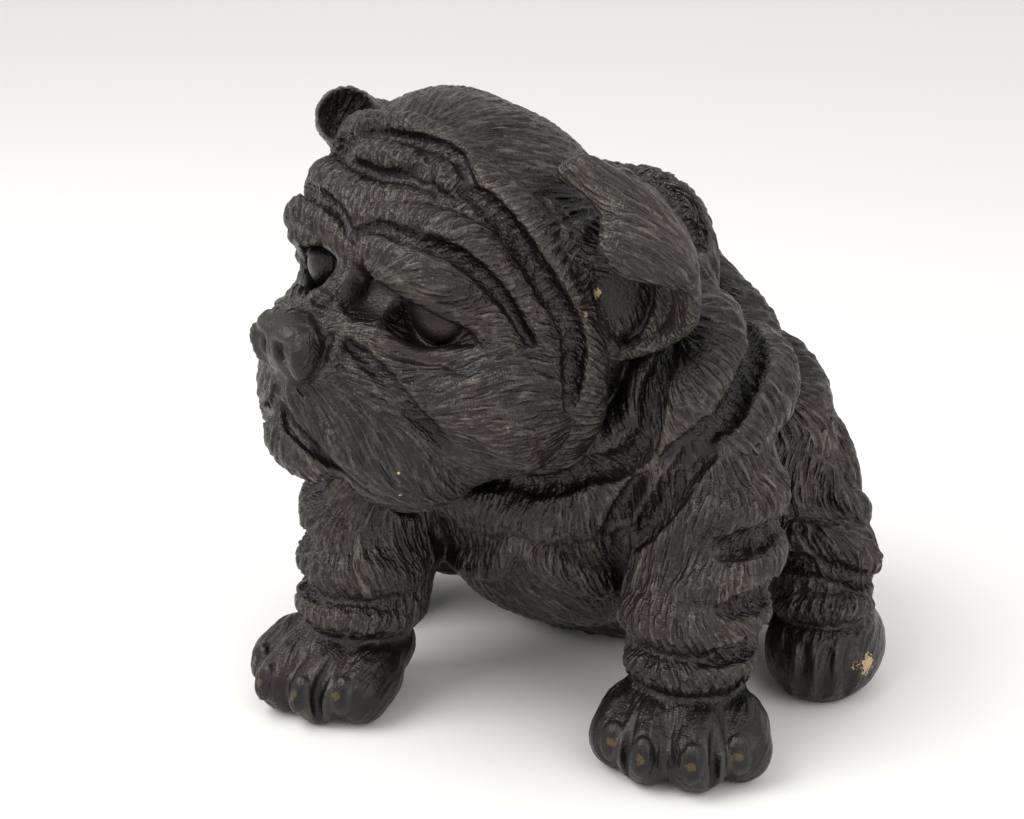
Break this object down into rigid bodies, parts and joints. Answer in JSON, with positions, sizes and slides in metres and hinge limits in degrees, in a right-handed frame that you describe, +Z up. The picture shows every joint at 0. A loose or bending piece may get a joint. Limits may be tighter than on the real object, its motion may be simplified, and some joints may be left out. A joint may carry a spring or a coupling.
{
  "type": "figural animal coin bank",
  "caption": "Seated bulldog puppy coin bank with turned head: hollow cast body and head, slot at the nape, pull-out stopper underneath.",
  "frame": {"origin": "on the floor, under the middle of the whole figure's box", "axes": "+Z up, the dog's chest faces -Y, the dog's left side is +X"},
  "size_m": [0.201, 0.202, 0.1946],
  "materials": {
    "bronze_resin": "cold-cast bronze resin, dark brown-black patina, satin",
    "base_board": "matt moulded",
    "stopper_rubber": "matt moulded",
    "felt": "pressed wool felt"
  },
  "bodies": {
    "bank": {"body_casting": "bronze_resin", "head_casting": "bronze_resin", "left_ear": "bronze_resin", "right_ear": "bronze_resin", "left_foreleg": "bronze_resin", "right_foreleg": "bronze_resin", "left_hind_leg": "bronze_resin", "right_hind_leg": "bronze_resin", "base_plate": "base_board", "pad_left_fore": "felt", "pad_right_fore": "felt", "pad_left_hind": "felt", "pad_right_hind": "felt"},
    "stopper": {"stopper": "stopper_rubber"}
  },
  "joints": [
    {"name": "stopper_pull", "type": "slide", "parent": "bank", "child": "stopper", "axis": [0, 0, -1], "range_m": [0, 0.03]}
  ]
}
